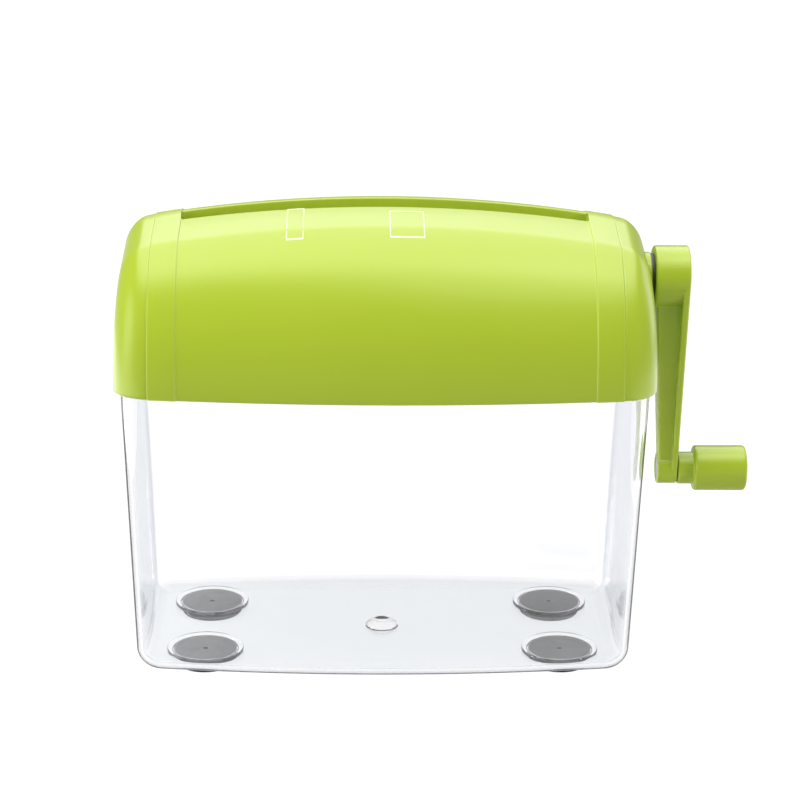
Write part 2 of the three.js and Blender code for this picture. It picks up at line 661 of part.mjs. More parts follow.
const gripPinSolid = () => join(
  rodX(gripPin.headRadius, boss.inner + 0.1, boss.inner + gripPin.headThickness - 0.02),
  rodX(gripPin.radius, boss.inner + 0.5, gripPin.end),
);

// ---------------------------------------------------------------- assembly

const shredder = new THREE.Group();
const binGroup = new THREE.Group();
const headGroup = new THREE.Group();
const crankGroup = new THREE.Group();
const gripGroup = new THREE.Group();
shredder.add(binGroup, headGroup);
headGroup.add(crankGroup);
crankGroup.add(gripGroup);
shredder.position.set(-MIDDLE_X, 0, -foot.bottom);
crankGroup.position.z = crank.z;
gripGroup.position.z = -crank.radius;

function addPart(group, name, finish, solid, position = [0, 0, 0]) {
  const mesh = new THREE.Mesh(geometryOf(solid), new THREE.MeshStandardMaterial(finishes[finish]));
  mesh.name = name;
  mesh.position.set(...position);
  group.add(mesh);
  return mesh;
}

addPart(binGroup, "waste_bin", "clear", wasteBin());
for (const [place, x, y] of footPlaces) {
  addPart(binGroup, `foot_${place}`, "rubber", rubberFoot(), [x, y, 0]);
  addPart(binGroup, `foot_tape_${place}`, "tape",
    rodZ(foot.radius - 0.1, 0, 0, 0, tapeThickness, 24), [x, y, foot.top]);
}

addPart(headGroup, "upper_cover", "lime", upperCover());
addPart(headGroup, "left_end_cap", "lime", endCap(-1));
addPart(headGroup, "right_end_cap", "lime", endCap(1));
addPart(headGroup, "lower_chassis", "black", lowerChassis());
for (const [name, place] of [["cover_screw", coverPillar], ["end_cap_screw", capPillar]])
  corners.forEach(([sx, sy], i) => {
    const position = [sx * place.x, sy * place.y, chassis.bottom - 0.02];
    addPart(headGroup, `${name}_${i + 1}`, "zinc", panScrew(screw.length, screw.radius), position)
      .rotation.x = Math.PI;
  });

const ends = [["left", -1], ["right", 1]];
const rows = [["front", -1], ["rear", 1]];
const rollerAxis = (side) => [0, side * roller.y, roller.z];

for (const [place, side] of ends) {
  addPart(headGroup, `${place}_bearing_plate`, "zinc", bearingPlate(side));
  for (const [row, rowSide] of rows)
    addPart(headGroup, `${row}_cutter_${place}_bush`, "bronze", plateBush(side), rollerAxis(rowSide));
}
addPart(headGroup, "crank_inner_bush", "bronze",
  flangedBush(plate.inner, plate.outer, -1, bush.innerFlangeRadius), [0, 0, crank.z]);
addPart(headGroup, "crank_outer_bush", "black",
  flangedBush(capBoss.inner - 0.4, capBoss.outer, 1, bush.outerFlangeRadius), [0, 0, crank.z]);
for (const [row, side] of rows) {
  addPart(headGroup, `${row}_tie_rod`, "steel", tieRodSolid(), [0, side * tieRod.y, tieRod.z]);
  addPart(headGroup, `${row}_stripper_comb`, "black", stripperComb(side), rollerAxis(side));
}

// The gears stand in mesh: a tooth of one faces a gap of the other on the line between their axes.
const toDrive = Math.atan2(roller.z - crank.z, roller.y);
const halfPitch = (count) => Math.PI / count;
for (const [row, side] of rows) {
  const [, y, z] = rollerAxis(side);
  const phase = side < 0 ? 0 : Math.PI + halfPitch(teeth.sync);
  const [leftClip, rightClip] = clipPlaces(side);
  addPart(headGroup, `${row}_cutter_roller`, "steel", cutterRoller(side), [0, y, z]);
  addPart(headGroup, `${row}_sync_gear`, "nylon",
    gear(teeth.sync, -gearFace.outer, -gearFace.inner, phase), [0, y, z]);
  addPart(headGroup, `${row}_cutter_left_clip`, "steel", retainingClip(), [leftClip, y, z]);
  addPart(headGroup, `${row}_cutter_right_clip`, "steel", retainingClip(), [rightClip, y, z]);
}
addPart(headGroup, "drive_gear", "nylon",
  gear(teeth.drive, gearFace.inner, gearFace.outer, toDrive + Math.PI + halfPitch(teeth.drive)),
  rollerAxis(1));

addPart(crankGroup, "crank_pinion", "steel", gear(teeth.pinion, gearFace.inner, gearFace.outer, toDrive));
addPart(crankGroup, "crank_shaft", "steel", crankShaft());
addPart(crankGroup, "crank_arm", "lime", crankArm());
addPart(crankGroup, "crank_screw", "zinc", panScrew(crankScrewSize.length, crankScrewSize.radius),
  [hub.outer - crankScrewSize.headDepth + 0.02, 0, 0]).rotation.y = Math.PI / 2;
addPart(gripGroup, "crank_grip_pin", "steel", gripPinSolid());
addPart(gripGroup, "crank_grip", "lime", crankGrip());

export default shredder;
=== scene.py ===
import json
import math

import bpy
import numpy as np
from mathutils import Matrix, Vector


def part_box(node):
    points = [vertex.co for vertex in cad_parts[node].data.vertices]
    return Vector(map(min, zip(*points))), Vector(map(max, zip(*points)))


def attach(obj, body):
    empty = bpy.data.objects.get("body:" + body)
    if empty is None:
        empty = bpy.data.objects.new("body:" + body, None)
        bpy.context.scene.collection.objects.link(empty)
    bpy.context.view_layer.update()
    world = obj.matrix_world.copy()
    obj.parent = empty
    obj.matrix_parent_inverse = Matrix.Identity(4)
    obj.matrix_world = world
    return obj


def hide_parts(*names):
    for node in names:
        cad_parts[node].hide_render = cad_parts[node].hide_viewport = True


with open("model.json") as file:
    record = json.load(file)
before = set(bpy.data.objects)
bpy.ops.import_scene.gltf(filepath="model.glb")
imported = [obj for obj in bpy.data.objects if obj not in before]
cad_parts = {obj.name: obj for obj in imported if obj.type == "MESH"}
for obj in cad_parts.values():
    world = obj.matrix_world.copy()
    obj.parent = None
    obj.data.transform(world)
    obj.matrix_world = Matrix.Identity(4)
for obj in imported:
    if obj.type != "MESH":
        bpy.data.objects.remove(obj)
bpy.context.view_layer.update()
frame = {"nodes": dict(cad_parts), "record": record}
nodes = frame["nodes"]
scene = bpy.context.scene

# ---------------------------------------------------------------- places and sizes, in metres


def middle(node):
    low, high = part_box(node)
    return (low + high) / 2


bin_low, bin_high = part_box("waste_bin")
cover_low, cover_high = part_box("upper_cover")
left_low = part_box("left_end_cap")[0]
grip_low, grip_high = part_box("crank_grip")
arm_low, arm_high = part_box("crank_arm")
foot_low, foot_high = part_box("foot_front_left")
# The middle of the bin and the head, about which the shapes below are drawn.
CENTRE_X = (bin_low.x + bin_high.x) / 2
CRANK_Z = middle("crank_outer_bush").z
GRIP_Z = middle("crank_grip").z

BOW = 0.62  # plan radius of the bowed front and rear faces
CREST = 0.53  # elevation radius of the top line
ARCH = 2 / 2.1  # exponent of the head's arched section
WALL = 0.002
HEAD_BOTTOM = cover_low.z
HEAD_TOP = cover_high.z + 0.00014  # the slot takes away the very crest
HEAD_HEIGHT = HEAD_TOP - HEAD_BOTTOM
HEAD_HALF_DEPTH = (cover_high.y - cover_low.y) / 2
HEAD_HALF_WIDTH = CENTRE_X - left_low.x
HEAD_PLAN_RADIUS = 0.0125
HEAD_TOP_RADIUS = 0.009
LEAN_IN = 0.0041
BAND_INNER, BAND_OUTER, BAND_RISE = 0.0763, 0.0863, 0.0004
# A flat strip that falls forward from the slot to a soft crease.
FACET_FRONT, FACET_REAR = -0.023, 0.004
CREASE_REACH, CREASE_SOFTNESS = 0.003, 0.0005
MOUTH_FRONT, MOUTH_REAR, MOUTH_TOP, MOUTH_HALF_LENGTH = -0.0056, 0.005, 0.1804, 0.079
THROAT, THROAT_TOP, THROAT_BOTTOM, THROAT_HALF_LENGTH = 0.0026, 0.165, 0.1452, 0.075
INLET_WALL = 0.0014
SLOT_END_TOP = 0.1685
SLOT_END_START = 0.0742  # where the solid ends of the slot begin, from the middle
PILLAR_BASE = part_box("lower_chassis")[1].z + 0.0003  # a gap above the chassis
PILLAR_BORE = 0.00169
SHARP_ANGLE = 32  # degrees between faces, from which an edge is shaded as a sharp one

# ---------------------------------------------------------------- mesh making


def new_object(name, verts, faces):
    mesh = bpy.data.meshes.new(name)
    mesh.from_pydata([tuple(v) for v in verts], [], faces)
    mesh.update()
    obj = bpy.data.objects.new(name, mesh)
    scene.collection.objects.link(obj)
    return obj


def loft(name, rings):
    """A closed skin through rings of points; each ring has the same number of them."""
    count = len(rings[0])
    verts = [tuple(p) for ring in rings for p in ring]
    faces = []
    for r in range(len(rings) - 1):
        for i in range(count):
            j = (i + 1) % count
            a, b = r * count, (r + 1) * count
            faces.append((a + i, a + j, b + j, b + i))
    last = (len(rings) - 1) * count
    faces.append(tuple(reversed(range(count))))
    faces.append(tuple(range(last, last + count)))
    co = np.array(verts)
    volume = 0.0
    for face in faces:
        p = co[list(face)]
        c = p.mean(0)
        for k in range(len(p)):
            volume += np.dot(c, np.cross(p[k], p[(k + 1) % len(p)]))
    if volume < 0:
        faces = [tuple(reversed(face)) for face in faces]
    return new_object(name, verts, faces)


def combine(target, operation, *tools):
    """Joins, cuts or intersects the target with each tool in turn, and removes the tools."""
    for tool in tools:
        step = target.modifiers.new("combine", "BOOLEAN")
        step.operation = operation
        step.object = tool
        step.solver = "MANIFOLD"
    depsgraph = bpy.context.evaluated_depsgraph_get()
    mesh = bpy.data.meshes.new_from_object(target.evaluated_get(depsgraph))
    target.modifiers.clear()
    old = target.data
    target.data = mesh
    bpy.data.meshes.remove(old)
    for tool in tools:
        bpy.data.objects.remove(tool)
    return target


def union(target, *tools):
    return combine(target, "UNION", *tools)


def cut(target, *tools):
    return combine(target, "DIFFERENCE", *tools)


def lathe(name, profile, axis, origin, segments=64):
    """Turns [radius, distance] points about the axis "X" or "Z" through the origin."""
    rings = []
    for radius, along in profile:
        ring = []
        for i in range(segments):
            angle = 2 * math.pi * i / segments
            u, v = radius * math.cos(angle), radius * math.sin(angle)
            point = (along, u, v) if axis == "X" else (u, v, along)
            ring.append(tuple(np.add(origin, point)))
        rings.append(ring)
    return loft(name, rings)


def rounded(points, segments=5, most=0.49):
    """A closed path through [u, v, radius] points, with each corner rounded to its radius.

    A corner takes up no more than the given share of the sides next to it.
    """
    made = []
    count = len(points)
    for i, (u, v, radius) in enumerate(points):
        here = np.array([u, v])
        before = np.array(points[(i - 1) % count][:2]) - here
        after = np.array(points[(i + 1) % count][:2]) - here
        if radius <= 0:
            made.append(tuple(here))
            continue
        a, b = before / np.linalg.norm(before), after / np.linalg.norm(after)
        half = math.acos(max(-1.0, min(1.0, float(np.dot(a, b))))) / 2
        reach = min(radius / math.tan(half),
                    most * np.linalg.norm(before), most * np.linalg.norm(after))
        start, end = here + a * reach, here + b * reach
        for k in range(segments + 1):
            t = k / segments
            made.append(tuple((1 - t) ** 2 * start + 2 * t * (1 - t) * here + t**2 * end))
    return made


def turned(name, points, axis, origin, segments=64):
    """A lathe of a rounded path that starts and ends on the axis, with flat faces there."""
    return lathe(name, [p for p in rounded(points) if p[0] > 0], axis, origin, segments)


def move_to_centre(obj):
    """From the head's own middle to the shared frame."""
    obj.data.transform(Matrix.Translation((CENTRE_X, 0, 0)))
    return obj


def smooth(obj, degrees=SHARP_ANGLE):
    obj.data.shade_smooth()
    obj.data.set_sharp_from_angle(angle=math.radians(degrees))
    return obj


# ---------------------------------------------------------------- materials


def node_material(name):
    made = bpy.data.materials.new(name)
    made.use_nodes = True
    tree = made.node_tree
    shader = tree.nodes["Principled BSDF"]
    return made, tree, shader


def noise(tree, scale, detail=4.0, roughness=0.55, stretch=(1, 1, 1)):
    coordinates = tree.nodes.new("ShaderNodeTexCoord")
    mapping = tree.nodes.new("ShaderNodeMapping")
    mapping.inputs["Scale"].default_value = stretch
    texture = tree.nodes.new("ShaderNodeTexNoise")
    texture.inputs["Scale"].default_value = scale
    texture.inputs["Detail"].default_value = detail
    texture.inputs["Roughness"].default_value = roughness
    tree.links.new(coordinates.outputs["Object"], mapping.inputs["Vector"])
    tree.links.new(mapping.outputs["Vector"], texture.inputs["Vector"])
    return texture.outputs["Fac"]


def spread(tree, value, low, high, start=0.3, end=0.7):
    """Maps a noise value onto the span from low to high."""
    mapped = tree.nodes.new("ShaderNodeMapRange")
    numbers = {"From Min": start, "From Max": end, "To Min": low, "To Max": high}
    for socket, number in numbers.items():
        mapped.inputs[socket].default_value = number
    tree.links.new(value, mapped.inputs["Value"])
    return mapped.outputs["Result"]


def blend_colour(tree, factor, first, second):
    mix = tree.nodes.new("ShaderNodeMix")
    mix.data_type = "RGBA"
    tree.links.new(factor, mix.inputs["Factor"])
    for socket, colour in (("A", first), ("B", second)):
        target = [s for s in mix.inputs if s.name == socket and s.type == "RGBA"][0]
        if isinstance(colour, tuple):
            target.default_value = (*colour, 1)
        else:
            tree.links.new(colour, target)
    return [s for s in mix.outputs if s.type == "RGBA"][0]


def math_node(tree, operation, first, second=None):
    """A math node with one or two linked inputs, and its result."""
    made = tree.nodes.new("ShaderNodeMath")
    made.operation = operation
    tree.links.new(first, made.inputs[0])
    if second:
        tree.links.new(second, made.inputs[1])
    return made, made.outputs["Value"]


def bump(tree, shader, height, distance):
    made = tree.nodes.new("ShaderNodeBump")
    made.inputs["Distance"].default_value = distance
    made.inputs["Strength"].default_value = 1.0
    tree.links.new(height, made.inputs["Height"])
    tree.links.new(made.outputs["Normal"], shader.inputs["Normal"])


EDGE_HIGHLIGHT_AND_WEAR_FULL, EDGE_HIGHLIGHT_AND_WEAR_NONE = 0.9, 0.985  # cosines between the rounded normal and the true one, at which the lighter edge (painted highlight and wear) is full and gone


def edge_factor(tree, radius):
    """Rises towards 1 within a radius of an edge, where the rounded normal leaves the true one."""
    soft = tree.nodes.new("ShaderNodeBevel")
    soft.samples = 4
    soft.inputs["Radius"].default_value = radius
    geometry = tree.nodes.new("ShaderNodeNewGeometry")
    dot = tree.nodes.new("ShaderNodeVectorMath")
    dot.operation = "DOT_PRODUCT"
    tree.links.new(soft.outputs["Normal"], dot.inputs[0])
    tree.links.new(geometry.outputs["Normal"], dot.inputs[1])
    return spread(tree, dot.outputs["Value"], 1.0, 0.0, EDGE_HIGHLIGHT_AND_WEAR_FULL, EDGE_HIGHLIGHT_AND_WEAR_NONE)


def surface(name, dark, light, edge_highlight_and_wear, rough, grain, depth, patch, metallic=0.0,
            stretch=(1, 1, 1), edge=0.0006, grit=0.02, fine=6, ior=None):
    """A finish with patchy colour from dark to light, lighter edges for wear and a painted edge
    highlight, varied gloss and a fine grain.

    Patch and grain are the scales of the two noises. The gloss varies from one end of rough to
    the other with a finer noise of the patches, and by grit with the grain, which is as high as
    depth. Edge is the width of the lighter edges, of painted highlight and wear.
    """
    made, tree, shader = node_material(name)
    patches = spread(tree, noise(tree, patch, 5, 0.6), 0, 1)
    speckle = noise(tree, grain, 3, 0.6, stretch)
    colour = blend_colour(tree, patches, dark, light)
    # Lighter edges: edge wear, and on the lime plastic a painted edge highlight.
    colour = blend_colour(tree, edge_factor(tree, edge), colour, edge_highlight_and_wear)
    tree.links.new(colour, shader.inputs["Base Color"])
    smears = spread(tree, noise(tree, patch * 2.5, fine, 0.65), *rough)
    gloss = math_node(tree, "ADD", smears, spread(tree, speckle, -grit, grit))[1]
    tree.links.new(gloss, shader.inputs["Roughness"])
    bump(tree, shader, speckle, depth)
    shader.inputs["Metallic"].default_value = metallic
    if ior:
        shader.inputs["IOR"].default_value = ior
    return made


finish_of = {
    # The lime plastic's lighter rounded edges are a painted edge highlight.
    "lime_plastic": surface(
        "lime_plastic", dark=(0.41, 0.542, 0.022), light=(0.428, 0.558, 0.026),
        edge_highlight_and_wear=(0.53, 0.67, 0.11), rough=(0.28, 0.32), grain=240, depth=0.000003, patch=14,
        edge=0.0009, grit=0.003, fine=2, ior=1.52),
    "black_plastic": surface(
        "black_plastic", dark=(0.018, 0.019, 0.02), light=(0.032, 0.033, 0.035),
        edge_highlight_and_wear=(0.07, 0.07, 0.075), rough=(0.42, 0.58), grain=1500, depth=0.00003, patch=40),
    "black_rubber": surface(
        "black_rubber", dark=(0.006, 0.006, 0.007), light=(0.013, 0.013, 0.014),
        edge_highlight_and_wear=(0.035, 0.035, 0.035), rough=(0.68, 0.86), grain=2200, depth=0.00005, patch=120),
    "grey_tape": surface(
        "grey_tape", dark=(0.27, 0.27, 0.28), light=(0.35, 0.35, 0.365),
        edge_highlight_and_wear=(0.42, 0.42, 0.43), rough=(0.7, 0.9), grain=1600, depth=0.00006, patch=260),
    "cutter_steel": surface(
        "cutter_steel", dark=(0.42, 0.425, 0.43), light=(0.56, 0.565, 0.57),
        edge_highlight_and_wear=(0.8, 0.8, 0.8), rough=(0.24, 0.4), grain=900, depth=0.00002, patch=90,
        metallic=1.0, stretch=(6, 1, 1)),
    "zinc_steel": surface(
        "zinc_steel", dark=(0.5, 0.5, 0.475), light=(0.68, 0.68, 0.65),
        edge_highlight_and_wear=(0.85, 0.85, 0.84), rough=(0.26, 0.46), grain=500, depth=0.00002, patch=220,
        metallic=1.0),
    "white_nylon": surface(
        "white_nylon", dark=(0.7, 0.685, 0.62), light=(0.8, 0.79, 0.74),
        edge_highlight_and_wear=(0.86, 0.85, 0.82), rough=(0.38, 0.52), grain=1200, depth=0.00002, patch=70),
    "sintered_bronze": surface(
        "sintered_bronze", dark=(0.3, 0.17, 0.065), light=(0.47, 0.29, 0.12),
        edge_highlight_and_wear=(0.62, 0.42, 0.2), rough=(0.36, 0.56), grain=2600, depth=0.00003, patch=700,
        metallic=1.0),
}
ink = surface(
    "white_ink", dark=(0.82, 0.87, 0.62), light=(0.88, 0.92, 0.72), edge_highlight_and_wear=(0.9, 0.93, 0.75),
    rough=(0.4, 0.5), grain=1500, depth=0.00001, patch=200)

CLEAR_TINTS = (0.983, 0.985, 0.992), (0.992, 0.994, 0.997)
# Edge-on upright walls of the bin darken: a painted dark reflection of the surroundings, partly the
# plastic's own tint through its thickness.
GRAZING_TINT_AND_PAINTED_REFLECTION, GRAZING_FROM, GRAZING_TO = (0.2, 0.25, 0.31), 0.5, 0.97
UPRIGHT_BELOW, LEVEL_ABOVE = 0.965, 0.99  # sizes of the normal's z: only upright walls get the edge-on tint and painted reflection
# Painted shade at the bin's foot, full below the lower height and gone above the upper.
BOTTOM_PAINTED_SHADE, BOTTOM_FULL, BOTTOM_NONE = (0.77, 0.8, 0.82), 0.0045, 0.0068  # heights in metres


def clear_material():
    made, tree, shader = node_material("clear_plastic")
    wear = noise(tree, 34, 6, 0.62)
    tint = blend_colour(tree, spread(tree, wear, 0, 1), *CLEAR_TINTS)
    layer = tree.nodes.new("ShaderNodeLayerWeight")
    layer.inputs["Blend"].default_value = 0.5
    grazing = spread(tree, layer.outputs["Facing"], 0.0, 1.0, GRAZING_FROM, GRAZING_TO)
    geometry = tree.nodes.new("ShaderNodeNewGeometry")
    split = tree.nodes.new("ShaderNodeSeparateXYZ")
    tree.links.new(geometry.outputs["Normal"], split.inputs["Vector"])
    level = math_node(tree, "ABSOLUTE", split.outputs["Z"])[1]
    upright = spread(tree, level, 1.0, 0.0, UPRIGHT_BELOW, LEVEL_ABOVE)
    both = math_node(tree, "MULTIPLY", grazing, upright)[1]
    # Painted dark reflection, with some real edge-on tint, on grazing upright walls.
    tint = blend_colour(tree, both, tint, GRAZING_TINT_AND_PAINTED_REFLECTION)
    # Painted shade: the bin is greyer towards its foot, where it meets the floor.
    coordinates = tree.nodes.new("ShaderNodeTexCoord")
    place = tree.nodes.new("ShaderNodeSeparateXYZ")
    tree.links.new(coordinates.outputs["Object"], place.inputs["Vector"])
    painted_foot_shade = spread(tree, place.outputs["Z"], 1.0, 0.0, BOTTOM_FULL, BOTTOM_NONE)
    tint = blend_colour(tree, painted_foot_shade, tint, BOTTOM_PAINTED_SHADE)
    tree.links.new(tint, shader.inputs["Base Color"])
    tree.links.new(spread(tree, noise(tree, 120, 6, 0.7), 0.0, 0.025), shader.inputs["Roughness"])
    shader.inputs["Transmission Weight"].default_value = 1.0
    shader.inputs["IOR"].default_value = 1.49
    bump(tree, shader, noise(tree, 26, 2, 0.5), 0.00002)
    return made


finish_of["clear_plastic"] = clear_material()


def add_piece(obj, body, slot, *replaced, material=None):
    obj.data.materials.clear()
    obj.data.materials.append(material or finish_of[slot])
    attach(obj, body)
    if replaced:
        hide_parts(*replaced)
    return obj


# ---------------------------------------------------------------- head


def head_at(x, out=0.0, plan_inset=0.0, top_inset=0.0):
    """The arch's half-depth and crest height at x, moved outwards by out."""
    half_depth = HEAD_HALF_DEPTH - x * x / (2 * BOW) + out - plan_inset
    return half_depth, HEAD_TOP - x * x / (2 * CREST) + out - top_inset


def plain_height(half_depth, top, y):
    share = max(0.0, 1 - abs(y / half_depth) ** (2 / ARCH)) ** (ARCH / 2)
    return HEAD_BOTTOM + (top - HEAD_BOTTOM) * share


def arch_height(half_depth, top, y):
    """The section's height at y: an arch that falls forward at its top in a soft-edged facet."""
    arch = plain_height(half_depth, top, y)
    if y >= FACET_REAR or y <= FACET_FRONT - CREASE_REACH:
        return arch
    front, rear = (plain_height(half_depth, top, edge) for edge in (FACET_FRONT, FACET_REAR))
    flat = front + (rear - front) * (y - FACET_FRONT) / (FACET_REAR - FACET_FRONT)
    if y >= FACET_FRONT + CREASE_REACH:
        return min(arch, flat)
    overlap = max(CREASE_SOFTNESS - abs(arch - flat), 0.0) / CREASE_SOFTNESS
    return min(arch, flat) - overlap**2 * CREASE_SOFTNESS / 4


def arch_angle(half_depth, y):
    """The angle at which the arch reaches y, from 0 at the front foot."""
    return math.acos(-math.copysign(min(1.0, abs(y / half_depth) ** (1 / ARCH)), y))


def arch_point(half_depth, top, angle, faceted=True):
    c, s = math.cos(angle), math.sin(angle)
    y = -half_depth * math.copysign(abs(c) ** ARCH, c)
    return y, (arch_height if faceted else plain_height)(half_depth, top, y)


def section_angles(half_depth, coarse=1):
    """Angles for one whole section, closest together over the crease."""
    stops = [-half_depth, FACET_FRONT - CREASE_REACH, FACET_FRONT + CREASE_REACH, FACET_REAR,
             half_depth]
    steps = [56 // coarse, 12 // coarse, 6 // coarse, 56 // coarse]
    angles = [0.0]
    for low, high, count in zip(stops, stops[1:], steps):
        start, end = arch_angle(half_depth, low), arch_angle(half_depth, high)
        angles += [start + (end - start) * k / count for k in range(1, count + 1)]
    return angles


def meet(p, q, r, s):
    """Where the line through p and q crosses the line through r and s."""
    p, q, r, s = (np.array(v) for v in (p, q, r, s))
    a = np.array([q - p, r - s]).T
    t = np.linalg.solve(a, r - p)[0]
    return tuple(p + t * (q - p))


LIP_REACH = {"front": (-0.015, -0.006), "rear": (-0.009, -0.0045)}
LAST_ANGLE = {"front": 74, "rear": 72}  # so that every section has the same number of points


def panel_profile(x, side):
    """The closed section of the cover's front or rear panel, drawn with its face towards -Y."""
    front = side == "front"
    half_depth, top = head_at(x)
    inner_depth, inner_top = half_depth - WALL, top - WALL
    mouth = MOUTH_FRONT if front else -MOUTH_REAR
    throat_corner, mouth_corner = (-THROAT, THROAT_TOP), (mouth, MOUTH_TOP)
    outside = -THROAT - INLET_WALL
    # The last stretch of the face up to the lip, as two points, and its underside.
    ends = LIP_REACH[side]
    height = arch_height if front else plain_height
    face = [(y, height(half_depth, top, y)) for y in ends]
    under = [(y, height(inner_depth, inner_top, y)) for y in ends]
    lip = meet(*face, throat_corner, mouth_corner)
    root = meet(*under, (outside, THROAT_TOP), (mouth - INLET_WALL, MOUTH_TOP))

    def stretch(depth, crest):
        stop = arch_angle(depth, ends[0])
        angles = [a for a in section_angles(depth)[1:LAST_ANGLE[side]] if a < stop]
        return [(*arch_point(depth, crest, a, front), 0.0) for a in angles]

    return rounded([
        (-half_depth, HEAD_BOTTOM, 0.0005), *stretch(half_depth, top), (*face[0], 0.0),
        (*lip, 0.0007), (*throat_corner, 0.003), (-THROAT, THROAT_BOTTOM, 0.0004),
        (outside, THROAT_BOTTOM, 0.0004), (outside, THROAT_TOP, 0.003), (*root, 0.001),
        *reversed(stretch(inner_depth, inner_top)), (-inner_depth, HEAD_BOTTOM, 0.0005),
    ])


def cover_panel(name, side):
    reach = BAND_INNER - 0.0003
    turn = 1 if side == "front" else -1
    return loft(name, [[(x, turn * y, z) for y, z in panel_profile(x, side)]
                       for x in np.linspace(-reach, reach, 61)])


def band_ring(name):
    """The right-hand raised band, its section swept over the arch from front to rear."""
    inner, outer = BAND_INNER, BAND_OUTER
    overlap = inner - 0.0008
    section = rounded([
        (overlap, -0.0003, 0), (inner, BAND_RISE, 0.0006), (outer - 0.0002, BAND_RISE, 0.0005),
        (outer, 0.0, 0.0002), (outer, -WALL, 0.0002), (overlap, -WALL, 0),
    ])
    lines = []
    for x, out in section:
        half_depth, top = head_at(x, out)
        lines.append([(x, *arch_point(half_depth, top, a)) for a in section_angles(half_depth)])
    return loft(name, [list(ring) for ring in zip(*lines)])


def inlet_block(name, wall, x_from=None):
    """The paper's way in as a solid, from its mouth to its throat, and a wall's width larger.

    With x_from, it is the solid right-hand end of the slot, which stops below the crest.
    """
    def ring(half_length, front, rear, z):
        x = half_length + wall
        low = -x if x_from is None else x_from
        near, far = front - wall, rear + wall
        return [(x, far, z), (low, far, z), (low, near, z), (x, near, z)]

    if x_from is None:
        return loft(name, [
            ring(THROAT_HALF_LENGTH, -THROAT, THROAT, THROAT_BOTTOM - 0.001),
            ring(THROAT_HALF_LENGTH, -THROAT, THROAT, THROAT_TOP),
            ring(MOUTH_HALF_LENGTH, MOUTH_FRONT, MOUTH_REAR, MOUTH_TOP),
        ])
    share = (SLOT_END_TOP - THROAT_TOP) / (MOUTH_TOP - THROAT_TOP)
    return loft(name, [
        ring(THROAT_HALF_LENGTH, -THROAT, THROAT, THROAT_BOTTOM),
        ring(THROAT_HALF_LENGTH, -THROAT, THROAT, THROAT_TOP),
        ring(THROAT_HALF_LENGTH + share * (MOUTH_HALF_LENGTH - THROAT_HALF_LENGTH),
             -THROAT + share * (MOUTH_FRONT + THROAT), THROAT + share * (MOUTH_REAR - THROAT),
             SLOT_END_TOP),
    ])


def mirrored(obj):
    obj.data.transform(Matrix.Diagonal((-1, 1, 1, 1)))
    obj.data.flip_normals()
    return obj


def round_off(x, half_width, radius):
    along = max(0.0, x - (half_width - radius))
    return radius - math.sqrt(max(0.0, radius**2 - along**2))


def leaning(x, y, z, half_width):
    """The end faces lean in from the seams outwards, and ever more with height."""
    reach = min(1.0, max(0.0, (x - BAND_OUTER) / (half_width - BAND_OUTER)))
    return x - reach * LEAN_IN * (max(0.0, z - HEAD_BOTTOM) / HEAD_HEIGHT) ** 2, y, z


CAP_STEPS = 28
CAP_FOOT = 0.0005  # radius of the cap's lower edge
SEAM_GAP, SEAM_WIDTH, SEAM_DEPTH = 0.00001, 0.0003, 0.00005


def cap_block(name, inset, base):
    """The right-hand end of the head as a solid, from the seam out to its leaning end face.

    Without an inset it is the cap itself, with a groove at the seam and a rounded lower edge.
    """
    half_width = HEAD_HALF_WIDTH - inset
    plan_radius = HEAD_PLAN_RADIUS - inset
    seam = BAND_OUTER + SEAM_GAP
    foot = CAP_FOOT if inset == 0 else 0.0
    if foot:
        stations = [(seam, -SEAM_DEPTH), (seam + SEAM_WIDTH, 0.0)]
    else:
        stations = [(seam - 0.004, 0.0)]
    bend = half_width - plan_radius
    next_x = stations[-1][0] + SEAM_WIDTH
    first = math.asin(min(1.0, max(0.0, (next_x - bend) / plan_radius)))
    for k in range(CAP_STEPS + 1):
        angle = first + (math.pi / 2 - first) * k / CAP_STEPS
        stations.append((bend + plan_radius * math.sin(angle), 0.0))
    rings = []
    for x, out in stations:
        half_depth, top = head_at(x, out - inset, round_off(x, half_width, plan_radius),
                                  round_off(x, half_width, HEAD_TOP_RADIUS - inset))
        section = [arch_point(half_depth, top, angle) for angle in section_angles(half_depth)]
        if foot:
            rise = round_off(x, half_width, foot)
            low = base + rise
            corner, flat = half_depth - 0.3 * foot, half_depth - foot - rise
            section = [(y, max(z, low + foot)) for y, z in section]
            edge = [(corner, low + 0.3 * foot), (flat, low),
                    (-flat, low), (-corner, low + 0.3 * foot)]
        else:
            edge = [(half_depth, base), (-half_depth, base)]
        rings.append([leaning(x, y, z, half_width) for y, z in section + edge])
    return loft(name, rings)


def inside_block(name, inset):
    """The whole head as a solid, a little inside its skin, to trim what is moulded to the shell."""
    rings = []
    reach = HEAD_HALF_WIDTH - 0.0045
    for x in np.linspace(-reach, reach, 41):
        half_depth, top = head_at(x, -inset, round_off(abs(x), HEAD_HALF_WIDTH, HEAD_PLAN_RADIUS),
                                  round_off(abs(x), HEAD_HALF_WIDTH, HEAD_TOP_RADIUS))
        rings.append([(x, *arch_point(half_depth, top, a)) for a in section_angles(half_depth, 2)])
    return loft(name, rings)


